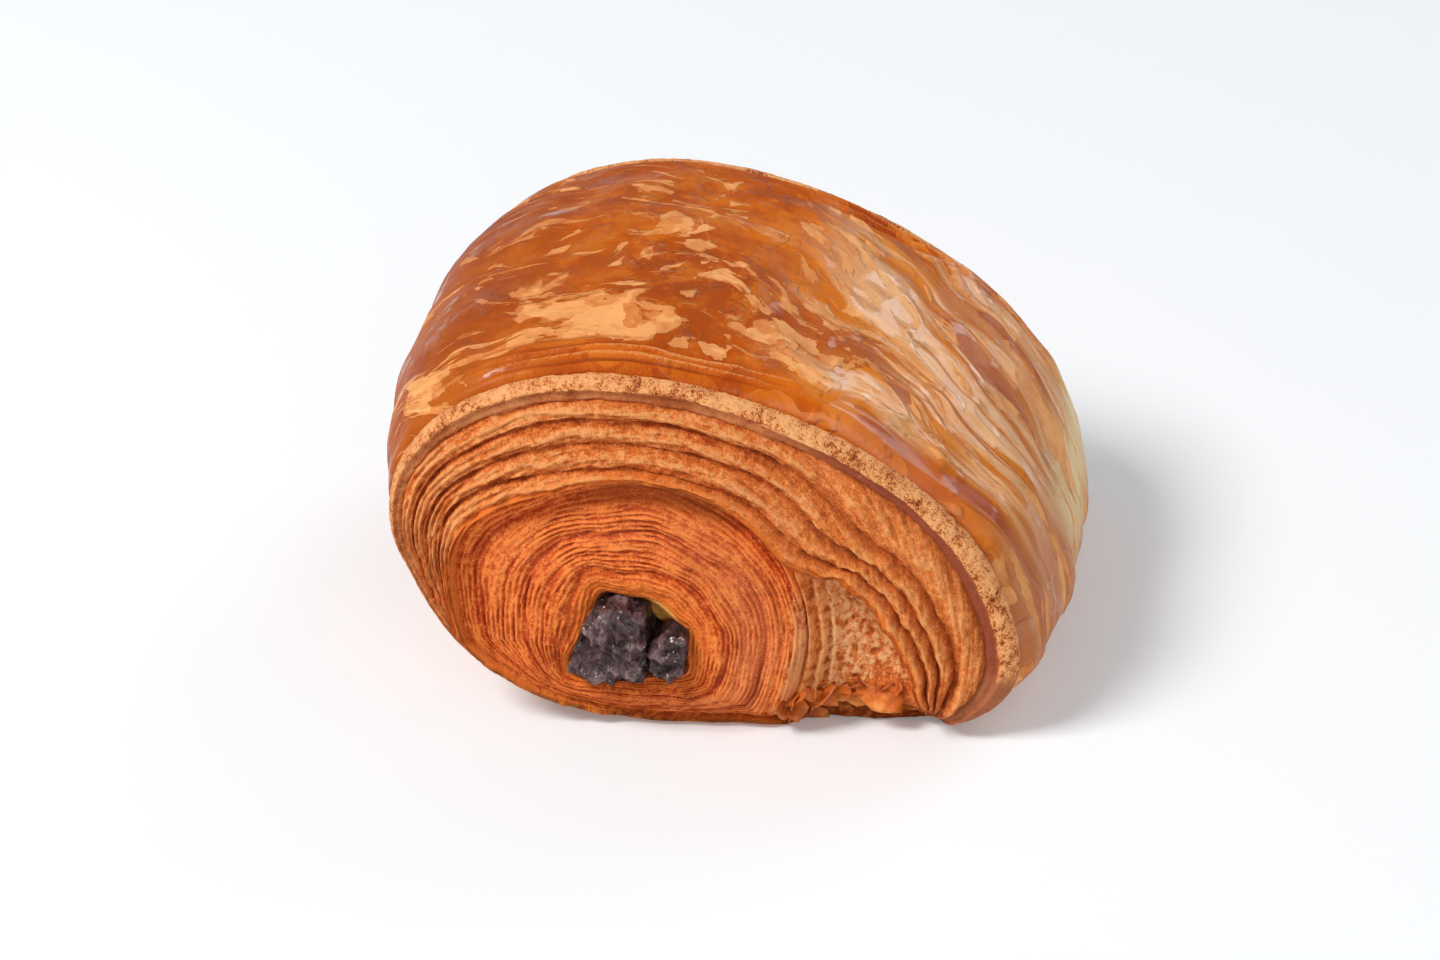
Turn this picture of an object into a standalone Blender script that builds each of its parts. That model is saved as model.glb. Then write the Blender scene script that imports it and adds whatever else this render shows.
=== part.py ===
"""Pain au chocolat: a baked roll of layered dough with two chocolate batons running through it.

The roll lies on its flat underside at z = 0. Its axis is Y, and its front end faces -Y.
Run with: blender --background --python part.py
"""

import math

import bmesh
import bpy
from mathutils import Vector, noise

# Driving dimensions of the roll, in metres
WIDTH = 0.0906  # across the oval cross-section, before it leans
HEIGHT = 0.0539
LENGTH = 0.0734  # from the front rim to the back rim
WAIST = 0.45 * HEIGHT  # height of the widest part
LEAN = -0.459  # sideways shift for each metre of height, so the top sits left of the foot
CENTRE_SHIFT = -0.00105  # puts the leaning oval's box in the middle
END_NARROWING = 0.1215  # how much smaller the cross-section is at the rims
END_CURVE = 2.5
TOP_ROUNDNESS = 1.883
FOOT_ROUNDNESS = 3.07
SETTLED = 0.0005  # how far the soft underside has flattened

# The end faces: each leans back, turns a little to the left, and bulges
FACE_LEAN = 0.105
FACE_TURN = 0.083
FACE_BULGE = 0.0029
FOOT_EDGE_HEIGHT = 0.0040
FOOT_EDGE_SETBACK = 0.0024

# The coil of the roll, wound round the chocolate, and the outer wraps
COIL_X = -0.0089
COIL_Z = 0.0134
MOUTH_RADIUS = 0.0079
MOUTH_WAVES = 0.04  # share by which the mouth is out of round
COIL_RADIUS = 0.0227
COIL_SHOULDER = 0.17  # the coil is this much larger towards its upper left
SHOULDER_ANGLE = math.radians(148)
SHOULDER_WIDTH = 0.42
FLOOR_SHARE = 0.86  # the most of the way to the rim that the coil reaches
WRAPS_LIMIT = 0.90  # and the most at which the outer wraps start
COIL_RIDGES = 3
COIL_RELIEF = 0.0006
COIL_SINK = 0.0016  # how far the coil lies behind the outer wraps at its edge
CREASE_WIDTH = 0.0007  # where the rim is CREASE_RIM away
CREASE_RIM = 0.040
CREASE_DEPTH = 0.0024
WRAP_SHARES = (0.30, 0.20, 0.28, 0.22)  # thickness of each outer layer, from the inside
WRAP_RELIEF = 0.0013
ROOM_FOR_RELIEF = 0.0060  # thinner wraps than this have shallower ridges
RIM_SHARE = 0.08
RIM_RISE = 0.0009
RIM_EDGE_DROP = 0.0006
SKIN_SETBACK = 0.0030  # the glazed skin starts this far behind the rim
GROOVE_INSET = 0.98  # the groove between rim and skin, as a share of the rim

# The open wedge between the coil and the outer wraps, low on the right
WEDGE_START = math.radians(38)
WEDGE_END = math.radians(-34)
WEDGE_GROWTH = 0.0183  # metres for each radian below its start
WEDGE_DEPTH = 0.0030
WEDGE_LIMIT = 0.972

# The unevenness of the dough: the size of its waves and their height
FACE_WAVES = (0.012, 0.0006)
SKIN_WAVES = (0.016, 0.0008)

# The batons, by the corners of their cross-sections as (x, z), counter-clockwise
BATON_LENGTH = 0.0850
BATON_EDGE = 0.0013
BATON_CLEARANCE = 0.0004
LEFT_BATON = ((-0.0168, 0.0104), (-0.0158, 0.0072), (-0.0072, 0.0068), (-0.0073, 0.0190), (-0.0128, 0.0194))
RIGHT_BATON = ((-0.0064, 0.0082), (-0.0020, 0.0085), (-0.0012, 0.0164), (-0.0063, 0.0160))
SHORTER_BATON = 0.0012
BATON_EDGE_STEPS = 3

# Fineness of the mesh
COLUMNS = 72
BODY_RINGS = 12
OUTLINE_SAMPLES = 720
TURN = 2 * math.pi

CRUST_COLOUR = (0.62, 0.27, 0.08, 1.0)
CHOCOLATE_COLOUR = (0.035, 0.022, 0.020, 1.0)


def blend(low, high, value):
    """0 below low, 1 above high, and a smooth curve between."""
    t = min(max((value - low) / (high - low), 0.0), 1.0)
    return t * t * (3 - 2 * t)


def hump(angle, middle, width):
    """1 at the middle angle, falling smoothly to 0 on both sides."""
    off = (angle - middle + math.pi) % TURN - math.pi
    return math.exp(-((off / width) ** 2))


def section(turn, scale):
    """The oval cross-section at an angle from +X, as (x, z). Its underside is flat on the ground."""
    across, up = math.cos(turn), math.sin(turn)
    roundness = TOP_ROUNDNESS if up >= 0 else FOOT_ROUNDNESS
    reach = (abs(across) ** roundness + abs(up) ** roundness) ** (-1 / roundness)
    rise = (HEIGHT - WAIST) * scale if up >= 0 else WAIST
    over_waist = rise * reach * up
    x = WIDTH / 2 * scale * reach * across + LEAN * over_waist + CENTRE_SHIFT
    z = (WAIST + over_waist - SETTLED) * HEIGHT / (HEIGHT - SETTLED)
    return x, max(z, 0.0)


def narrowing(y):
    """The scale of the cross-section at a place along the roll."""
    return 1 - END_NARROWING * min(abs(y) / (LENGTH / 2), 1.0) ** END_CURVE


def even_turns():
    """The angles that space the columns evenly along the rim's outline."""
    rim = [section(TURN * i / OUTLINE_SAMPLES, narrowing(LENGTH / 2)) for i in range(OUTLINE_SAMPLES + 1)]
    walked = [0.0]
    for here, there in zip(rim, rim[1:]):
        walked.append(walked[-1] + math.dist(here, there))
    turns, at = [], 0
    for column in range(COLUMNS):
        goal = walked[-1] * column / COLUMNS
        while walked[at + 1] < goal:
            at += 1
        part = (goal - walked[at]) / (walked[at + 1] - walked[at])
        turns.append(TURN * (at + part) / OUTLINE_SAMPLES)
    return turns


def outlines(angle, rim):
    """How far the mouth, the coil's edge, the first wrap and the rim's groove are from the coil's centre."""
    mouth = MOUTH_RADIUS * (1 + MOUTH_WAVES * math.sin(3 * angle + 0.7))
    shoulder = 1 + COIL_SHOULDER * hump(angle, SHOULDER_ANGLE, SHOULDER_WIDTH)
    coil = min(COIL_RADIUS * shoulder, FLOOR_SHARE * rim)
    below = WEDGE_START - (angle + math.pi) % TURN + math.pi
    wedge = 0.0
    if 0 < below < WEDGE_START - WEDGE_END:
        wedge = WEDGE_GROWTH * below * blend(0, 0.35, below)
    limit = WEDGE_LIMIT if wedge else WRAPS_LIMIT
    wraps = min(coil + CREASE_WIDTH * rim / CREASE_RIM + wedge, limit * rim)
    groove = rim - min(RIM_SHARE * rim, 0.4 * (rim - wraps))
    return mouth, coil, wraps, groove, wedge


def ridge_stations(inner, outer, shares, relief, sink):
    """Three stations for each layer: its valley and the two sides of its flat crest."""
    total, start, found = sum(shares), 0.0, []
    for share in shares:
        size = share / total
        for part, lift in ((0.0, -1.0), (0.30, 0.0), (0.78, 0.05)):
            place = start + size * part
            found.append((inner, outer, place, relief * lift - sink * place**1.5))
        start += size
    return found


def face_stations():
    """The rings of an end face, from mouth to rim: two outlines, the place between them, and the lift."""
    mouth, coil, wraps, groove, rim = range(5)
    stations = [(mouth, coil, -0.10, -0.0048), (mouth, coil, -0.05, -0.0022)]
    stations += ridge_stations(mouth, coil, [1.0] * COIL_RIDGES, COIL_RELIEF, COIL_SINK)
    stations += [(coil, wraps, 0.0, -CREASE_DEPTH)]
    stations += [(coil, wraps, place, -WEDGE_DEPTH) for place in (0.30, 0.75)]
    stations += ridge_stations(wraps, groove, WRAP_SHARES, WRAP_RELIEF, 0.0)
    stations += [(groove, rim, 0.0, -WRAP_RELIEF)]
    stations += [(groove, rim, 0.22, 0.6 * RIM_RISE), (groove, rim, 0.60, RIM_RISE)]
    return stations + [(groove, rim, GROOVE_INSET, -RIM_EDGE_DROP)]


def face_depth(x, z, share):
    """How far the plain end face lies from the roll's middle, at a share of the way out to the rim."""
    bulge = FACE_BULGE * max(1 - share * share, 0.0) ** 0.6
    foot = FOOT_EDGE_SETBACK * max(1 - z / FOOT_EDGE_HEIGHT, 0.0) ** 2
    return LENGTH / 2 - FACE_TURN * x - FACE_LEAN * (z - WAIST) + bulge - foot


def ripple(x, y, z, waves):
    """A gentle unevenness of the dough, in metres."""
    size, height = waves
    return height * noise.noise(Vector((x, y, z)) / size)


def face_rings(side, turns):
    """The rings of one end, from inside the mouth to the rim. side is -1 at the front and 1 at the back."""
    rings = [[] for _ in face_stations()]
    for turn in turns:
        rim_x, rim_z = section(turn, narrowing(LENGTH / 2))
        across, up = rim_x - COIL_X, rim_z - COIL_Z
        angle, rim = math.atan2(up, across), math.hypot(across, up)
        mouth, coil, wraps, groove, wedge = outlines(angle, rim)
        radii = (mouth, coil, wraps, groove, rim)
        open_share = blend(0.0, 0.004, wedge)
        wrap_share = min((groove - wraps) / ROOM_FOR_RELIEF, 1.0)
        for ring, (inner, outer, place, lift) in zip(rings, face_stations()):
            if inner == 1:
                lift *= 0.6 + 0.4 * open_share
            if inner == 2:
                lift *= wrap_share
            radius = radii[inner] + (radii[outer] - radii[inner]) * place
            x = COIL_X + radius * math.cos(angle)
            z = max(COIL_Z + radius * math.sin(angle), 0.0)
            depth = face_depth(x, z, radius / rim) + lift + ripple(x, side, z, FACE_WAVES)
            ring.append((x, side * depth, z))
    return rings


def skin_edge_rings(side, turns):
    """The groove between the rim and the skin, and the skin's rounded edge."""
    groove, edge = [], []
    for turn in turns:
        rim_x, rim_z = section(turn, narrowing(LENGTH / 2))
        depth = face_depth(rim_x, rim_z, 1.0)
        groove_x = COIL_X + GROOVE_INSET * (rim_x - COIL_X)
        groove_z = COIL_Z + GROOVE_INSET * (rim_z - COIL_Z)
        groove.append((groove_x, side * (depth - 0.6 * SKIN_SETBACK), groove_z))
        edge_x, edge_z = section(turn, narrowing(depth - SKIN_SETBACK))
        edge.append((edge_x, side * (depth - SKIN_SETBACK), edge_z))
    return [groove, edge]


def body_rings(turns, front, back):
    """The rings of the skin between its two edges, with soft waves that fade out at the ground."""
    rings = []
    for ring in range(1, BODY_RINGS):
        share = ring / BODY_RINGS
        points = []
        for turn, near, far in zip(turns, front, back):
            y = near[1] + (far[1] - near[1]) * share
            x, z = section(turn, narrowing(y))
            wave = ripple(x, y, z, SKIN_WAVES) * blend(0.001, 0.010, z)
            out = Vector((x, 0, z - WAIST)).normalized() * wave
            points.append((x + out.x, y, z + out.z))
        rings.append(points)
    return rings


def add_object(name, mesh, collection):
    made = bpy.data.objects.new(name, mesh)
    collection.objects.link(made)
    return made


def loft(name, rings):
    """A closed mesh through rings of points, with a face across each end."""
    work = bmesh.new()
    rows = [[work.verts.new(point) for point in ring] for ring in rings]
    for row, following in zip(rows, rows[1:]):
        for i in range(len(row)):
            j = (i + 1) % len(row)
            work.faces.new((row[i], row[j], following[j], following[i]))
    for row in (rows[0], rows[-1]):
        work.faces.new(row)
    bmesh.ops.recalc_face_normals(work, faces=work.faces)
    mesh = bpy.data.meshes.new(name)
    work.to_mesh(mesh)
    work.free()
    return mesh


def dough(collection):
    turns = even_turns()
    front = face_rings(-1, turns) + skin_edge_rings(-1, turns)
    back = face_rings(1, turns) + skin_edge_rings(1, turns)
    rings = front + body_rings(turns, front[-1], back[-1]) + back[::-1]
    mesh = loft("dough", rings)
    mesh.shade_smooth()
    mesh.set_sharp_from_angle(angle=math.radians(60))
    return add_object("dough", mesh, collection)


def grown(corners, distance):
    """The outline with each side moved outwards by a distance."""
    moved = []
    for i, corner in enumerate(corners):
        before, after = Vector(corners[i - 1]), Vector(corners[(i + 1) % len(corners)])
        here = Vector(corner)
        into, out = (here - before).normalized(), (after - here).normalized()
        first, second = Vector((into.y, -into.x)), Vector((out.y, -out.x))
        moved.append(here + (first + second) * distance / (1 + first.dot(second)))
    return moved


def prism(name, corners, length, edge, collection):
    """A bar along Y with rounded edges, from the corners of its cross-section."""
    work = bmesh.new()
    face = work.faces.new([work.verts.new((x, -length / 2, z)) for x, z in corners])
    swept = bmesh.ops.extrude_face_region(work, geom=[face])["geom"]
    far_corners = [v for v in swept if isinstance(v, bmesh.types.BMVert)]
    bmesh.ops.translate(work, verts=far_corners, vec=(0, length, 0))
    bmesh.ops.recalc_face_normals(work, faces=work.faces)
    bmesh.ops.bevel(
        work, geom=work.edges[:], offset=edge, segments=BATON_EDGE_STEPS, profile=0.5, affect="EDGES"
    )
    mesh = bpy.data.meshes.new(name)
    work.to_mesh(mesh)
    work.free()
    mesh.shade_smooth()
    mesh.set_sharp_from_angle(angle=math.radians(40))
    return add_object(name, mesh, collection)


def cut_channel(body, name, corners, cutters):
    """Cuts the way that a baton runs in through the dough."""
    room = grown(corners, BATON_CLEARANCE)
    cutter = prism(name, room, 1.3 * BATON_LENGTH, BATON_EDGE + BATON_CLEARANCE, cutters)
    cutter.hide_render = True
    cutter.display_type = "WIRE"
    cut = body.modifiers.new(name, "BOOLEAN")
    cut.operation = "DIFFERENCE"
    cut.object = cutter
    cut.solver = "EXACT"


def finish(name, colour, roughness, coat):
    """A glossy food finish with a thin clear coat."""
    material = bpy.data.materials.new(name)
    material.use_nodes = True
    shader = material.node_tree.nodes["Principled BSDF"]
    shader.inputs["Base Color"].default_value = colour
    shader.inputs["Roughness"].default_value = roughness
    shader.inputs["Metallic"].default_value = 0.0
    shader.inputs["Coat Weight"].default_value = coat
    material.diffuse_color = colour
    return material


def clear_scene():
    for found in list(bpy.data.objects):
        bpy.data.objects.remove(found)


def new_collection(name):
    made = bpy.data.collections.new(name)
    bpy.context.scene.collection.children.link(made)
    return made


def main():
    clear_scene()
    pastry = new_collection("pain_au_chocolat")
    cutters = new_collection("cutters")
    body = dough(pastry)
    left = prism("baton_left", LEFT_BATON, BATON_LENGTH, BATON_EDGE, pastry)
    right = prism("baton_right", RIGHT_BATON, BATON_LENGTH - SHORTER_BATON, BATON_EDGE, pastry)
    cut_channel(body, "left_channel", LEFT_BATON, cutters)
    cut_channel(body, "right_channel", RIGHT_BATON, cutters)
    body.data.materials.append(finish("crust", CRUST_COLOUR, 0.40, 0.3))
    chocolate = finish("chocolate", CHOCOLATE_COLOUR, 0.35, 0.2)
    left.data.materials.append(chocolate)
    right.data.materials.append(chocolate)


main()
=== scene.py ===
"""The looks of the pain au chocolat: flaky ends, a glazed crust and two chocolate batons."""

import math
from itertools import product

import bmesh
import bpy
import numpy as np
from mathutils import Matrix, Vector


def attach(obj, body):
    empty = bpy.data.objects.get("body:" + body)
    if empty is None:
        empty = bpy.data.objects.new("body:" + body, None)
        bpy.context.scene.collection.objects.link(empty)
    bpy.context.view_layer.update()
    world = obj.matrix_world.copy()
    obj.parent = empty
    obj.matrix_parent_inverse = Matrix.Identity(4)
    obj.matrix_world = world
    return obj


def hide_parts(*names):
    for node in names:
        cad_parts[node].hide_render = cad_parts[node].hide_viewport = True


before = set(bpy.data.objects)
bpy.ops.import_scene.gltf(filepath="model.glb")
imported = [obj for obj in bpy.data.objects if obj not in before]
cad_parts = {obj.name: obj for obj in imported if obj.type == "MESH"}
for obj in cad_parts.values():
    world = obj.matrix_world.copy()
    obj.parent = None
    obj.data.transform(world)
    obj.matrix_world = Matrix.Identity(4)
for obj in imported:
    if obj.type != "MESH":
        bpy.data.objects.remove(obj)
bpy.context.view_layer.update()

TURN = 2 * math.pi
MM = 0.001

# The roll, as the CAD model has it
WIDTH = 90.6 * MM
HEIGHT = 53.9 * MM
LENGTH = 73.4 * MM
WAIST = 0.45 * HEIGHT
LEAN = -0.459
CENTRE_SHIFT = -1.05 * MM
END_NARROWING = 0.1215
END_CURVE = 2.5
TOP_ROUNDNESS = 1.883
FOOT_ROUNDNESS = 3.07
SETTLED = 0.5 * MM
FACE_LEAN = 0.105
FACE_TURN = 0.083
FACE_BULGE = 2.9 * MM
FOOT_EDGE_HEIGHT = 4.0 * MM
FOOT_EDGE_SETBACK = 2.4 * MM

# The end faces, as the CAD model has them; FRONT and BACK are the signs of their sides
FRONT, BACK = -1, 1
COIL_X = -8.9 * MM
COIL_Z = 13.4 * MM
MOUTH_RADIUS = 6.0 * MM
# Where the mouth is wider round the batons: the middle angle, the width and the growth
MOUTH_CORNERS = ((8, 0.30, 0.22), (124, 0.30, 0.28), (214, 0.38, 0.73), (326, 0.35, 0.40))
COIL_RADIUS = 22.7 * MM
COIL_SHOULDER = 0.17
SHOULDER_ANGLE = math.radians(148)
FLOOR_SHARE = 0.93
CREASE_WIDTH = 0.7 * MM
WRAP_SHARES_TOP = (0.14, 0.33, 0.29, 0.24)
WRAP_SHARES_RIGHT = (0.16, 0.18, 0.21, 0.45)
WRAP_SHARES_LEFT = (0.27, 0.25, 0.24, 0.24)
RIM_SHARE = 0.08
SKIN_SETBACK = 3.0 * MM
SKIN_END = -0.6 * SKIN_SETBACK
WEDGE_START = math.radians(38)
WEDGE_END = math.radians(-34)
WEDGE_GROWTH = 18.3 * MM
WEDGE_LIMIT = 0.972
MEAN_RADIUS = 37 * MM

# The torn hollow at the foot: how far the skin, the layers and the rim draw back there
TORN_SKIN = 7 * MM
TORN_LAYERS = 3.0 * MM
TORN_RIM = 3.5 * MM

# How many ridges the coil shows from its mouth to its edge
FINE_RIDGES = 25
MIDDLE_RIDGES = 6
BROAD_RIDGES = 3

# How deep the open wedge lies at its edge, and how much deeper inside
WEDGE_DEPTH = 3.0 * MM
WEDGE_SLOPE = 1.4 * MM

# How far a piece reaches down behind its own edge
TUCK_DEPTH = 4 * MM

# The batons' cross-sections, corner by corner from the lower left, counter-clockwise
BATON_LENGTH = 85.0 * MM
SHORT_BATON_LENGTH = BATON_LENGTH - 1.2 * MM
LEFT_BATON = ((-17.8, 8.9), (-7.0, 7.2), (-7.1, 18.6), (-13.8, 19.4))
RIGHT_BATON = ((-6.4, 8.4), (-2.1, 8.8), (-1.4, 15.6), (-6.3, 14.4))

# Folds in the skin beside the rim: distance and width in millimetres, height, and middle angle
EDGE_FOLDS = (
    (1.5, 0.35, -1.0, 1.85),
    (2.2, 0.35, 0.8, 1.75),
    (3.0, 0.30, -1.0, 1.80),
    (3.8, 0.35, 0.7, 1.60),
    (4.7, 0.40, -0.8, 1.95),
    (6.5, 0.45, -0.5, 2.25),
)

# The camera: a long lens, turned and raised as in the photograph
LENS = 100.0
SENSOR = 36.0
CAMERA_TURN = math.radians(9.689)
CAMERA_RISE = math.radians(28.748)
CAMERA_DISTANCE = 570.8 * MM
CAMERA_TARGET = Vector((-3.88 * MM, -0.48 * MM, 16.85 * MM))

# Where the lamps point
LAMP_TARGET = Vector((0, 0, 20 * MM))

# The torn leaves at the foot
LEAF_COUNT = 38
LEAF_SIZE = 6.0 * MM
LEAF_CURL = 1.4 * MM
LEAF_HANG = 1.2
LEAF_THICKNESS = 0.14 * MM

# The colours of the tightly wound underside
WOUND = ((0.40, (0.42, 0.065, 0.007)), (0.56, (0.80, 0.21, 0.030)))

# Sockets of the colour Mix node
MIX_FACTOR, MIX_FIRST, MIX_SECOND, MIX_RESULT = 0, 6, 7, 2


class Unevenness:
    """Smooth seeded noise of about -1 to 1 for arrays of places, one cell to each unit."""

    CELLS = 48

    def __init__(self, seed):
        slopes = np.random.default_rng(seed).normal(size=(self.CELLS, self.CELLS, self.CELLS, 3))
        self.slopes = slopes / np.linalg.norm(slopes, axis=-1, keepdims=True)

    def at(self, x, y, z):
        places = np.stack(np.broadcast_arrays(x, y, z), axis=-1)
        low = np.floor(places).astype(int)
        part = places - low
        ease = part**3 * (part * (part * 6 - 15) + 10)
        total = 0
        for corner in product((0, 1), repeat=3):
            cell = (low + corner) % self.CELLS
            slope = self.slopes[cell[..., 0], cell[..., 1], cell[..., 2]]
            height = np.sum(slope * (part - corner), axis=-1)
            total = total + height * np.prod(np.where(corner, ease, 1 - ease), axis=-1)
        return 1.6 * total

    def layered(self, x, y, z, octaves=3):
        """Coarse noise with finer noise on it."""
        total, weight = 0, 1.0
        for octave in range(octaves):
            total = total + weight * self.at(x * 2**octave + 7.3 * octave, y * 2**octave, z * 2**octave)
            weight *= 0.55
        return total

    def along(self, angle, across, reach, fineness, octaves=2):
        """Noise drawn out round the roll: reach cells to a radian, fineness cells to each metre across."""
        return self.layered(np.cos(angle) * reach, np.sin(angle) * reach, across * fineness, octaves)


def blend(low, high, value):
    """0 below low, 1 above high, and a smooth curve between."""
    t = np.clip((value - low) / (high - low), 0, 1)
    return t * t * (3 - 2 * t)


def hump(angle, middle, width):
    """1 at the middle angle, falling smoothly to 0 on both sides."""
    off = (angle - middle + math.pi) % TURN - math.pi
    return np.exp(-((off / width) ** 2))


def ridges(position, flatness):
    """1 on the crest of each unit of position and 0 in the valleys between."""
    return 1 - np.abs(2 * (position % 1) - 1) ** flatness


def section(turn, scale):
    """The oval cross-section at angles from +X, as arrays of x and z."""
    across, up = np.cos(turn), np.sin(turn)
    roundness = np.where(up >= 0, TOP_ROUNDNESS, FOOT_ROUNDNESS)
    reach = (np.abs(across) ** roundness + np.abs(up) ** roundness) ** (-1 / roundness)
    rise = np.where(up >= 0, (HEIGHT - WAIST) * scale, WAIST)
    over_waist = rise * reach * up
    x = WIDTH / 2 * scale * reach * across + LEAN * over_waist + CENTRE_SHIFT
    z = (WAIST + over_waist - SETTLED) * HEIGHT / (HEIGHT - SETTLED)
    return x, np.maximum(z, 0)


def narrowing(y):
    """The scale of the cross-section at places along the roll."""
    return 1 - END_NARROWING * np.minimum(np.abs(y) / (LENGTH / 2), 1) ** END_CURVE


def even_turns(columns, underside=0.5):
    """Angles that space the columns evenly along the rim, wider on the underside."""
    fine = np.linspace(0, TURN, 4001)
    x, z = section(fine, narrowing(LENGTH / 2))
    steps = np.hypot(np.diff(x), np.diff(z)) * np.where(z[1:] < 1 * MM, underside, 1)
    walked = np.concatenate(([0], np.cumsum(steps)))
    return np.interp(np.linspace(0, walked[-1], columns + 1), walked, fine)


class Face:
    """The plain outlines of an end face over its columns. side is FRONT or BACK."""

    def __init__(self, side, turns):
        self.side = side
        rim_x, rim_z = section(turns, narrowing(LENGTH / 2))
        across, up = rim_x - COIL_X, rim_z - COIL_Z
        self.angle = np.arctan2(up, across)
        self.rim = np.hypot(across, up)
        self.mouth = MOUTH_RADIUS * (1 + sum(
            grow * hump(self.angle, math.radians(middle), width) for middle, width, grow in MOUTH_CORNERS
        ))
        shoulder = 1 + COIL_SHOULDER * hump(self.angle, SHOULDER_ANGLE, 0.42)
        self.coil = np.minimum(COIL_RADIUS * shoulder, FLOOR_SHARE * self.rim)
        below = WEDGE_START - (self.angle + math.pi) % TURN + math.pi
        in_wedge = (below > 0) & (below < WEDGE_START - WEDGE_END)
        self.wedge = np.where(in_wedge, WEDGE_GROWTH * below * blend(0, 0.35, below), 0)
        crease = CREASE_WIDTH * self.rim / 0.04
        limit = np.where(in_wedge, WEDGE_LIMIT, 0.955) * self.rim
        self.wraps = np.minimum(self.coil + crease + self.wedge, limit)
        rim_share = RIM_SHARE * (1 - 0.5 * hump(self.angle, math.pi, 0.9))
        self.groove = self.rim - np.minimum(rim_share * self.rim, 0.4 * (self.rim - self.wraps))
        self.bottom = hump(self.angle, -1.75, 0.95) * (rim_z < 6 * MM)

    def place(self, radius, lift):
        """Points at distances from the coil's centre, raised by lift from the plain face."""
        x = COIL_X + radius * np.cos(self.angle)
        z = np.maximum(COIL_Z + radius * np.sin(self.angle), 0)
        share = np.minimum(radius / self.rim, 1)
        bulge = FACE_BULGE * (1 - share * share) ** 0.6
        foot = FOOT_EDGE_SETBACK * np.maximum(1 - z / FOOT_EDGE_HEIGHT, 0) ** 2
        depth = LENGTH / 2 - FACE_TURN * x - FACE_LEAN * (z - WAIST) + bulge - foot
        return np.stack((x, self.side * (depth + lift), z), axis=-1)

    def flow(self, radius):
        """Where each point lies round the roll and outwards, for patterns that follow the layers."""
        x = MEAN_RADIUS * np.cos(self.angle) + 0 * radius
        z = MEAN_RADIUS * np.sin(self.angle) + 0 * radius
        return np.stack((x, z, radius), axis=-1)


def vertex_places(mesh):
    """The places of all vertices of a mesh, one row to each."""
    flat = np.empty(3 * len(mesh.vertices))
    mesh.vertices.foreach_get("co", flat)
    return flat.reshape(-1, 3)


def bent_grid(name, places, marks, finish, node):
    """A closed ring from a grid: its two sides meet, and its last row meets its first."""
    rows, columns = places.shape[0] - 1, places.shape[1] - 1
    work = bmesh.new()
    bmesh.ops.create_grid(work, x_segments=columns, y_segments=rows, size=0.5)
    mesh = bpy.data.meshes.new(name)
    work.to_mesh(mesh)
    work.free()
    flat = vertex_places(mesh)
    spot = (flat - flat.min(axis=0)) / np.maximum(np.ptp(flat, axis=0), 1e-9)
    column = np.rint(spot[:, 0] * columns).astype(int)
    row = np.rint(spot[:, 1] * rows).astype(int)
    mesh.vertices.foreach_set("co", places[row, column].ravel())
    for mark, values in marks.items():
        is_vector = values.ndim == 3
        grid = values if is_vector else np.broadcast_to(values, places.shape[:2])
        layer = mesh.attributes.new(mark, "FLOAT_VECTOR" if is_vector else "FLOAT", "POINT")
        layer.data.foreach_set("vector" if is_vector else "value", grid[row, column].ravel())
    return closed(name, mesh, finish, node)


def closed(name, mesh, finish, node):
    """Merges the seams of a piece, turns its faces outwards and hands it to the frame."""
    work = bmesh.new()
    work.from_mesh(mesh)
    border = [vert for vert in work.verts if vert.is_boundary]
    bmesh.ops.remove_doubles(work, verts=border, dist=1e-6)
    bmesh.ops.recalc_face_normals(work, faces=work.faces)
    work.to_mesh(mesh)
    work.free()
    mesh.shade_smooth()
    mesh.materials.append(finish)
    piece = bpy.data.objects.new(name, mesh)
    bpy.context.scene.collection.objects.link(piece)
    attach(piece, "root")
    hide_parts(node)
    return piece


def stations(*runs):
    """One column of row values from runs of (first, last, count), ending where it starts."""
    parts = [np.linspace(first, last, count, endpoint=False) for first, last, count in runs]
    whole = np.concatenate(parts)
    return np.append(whole, whole[0])[:, None]


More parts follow.
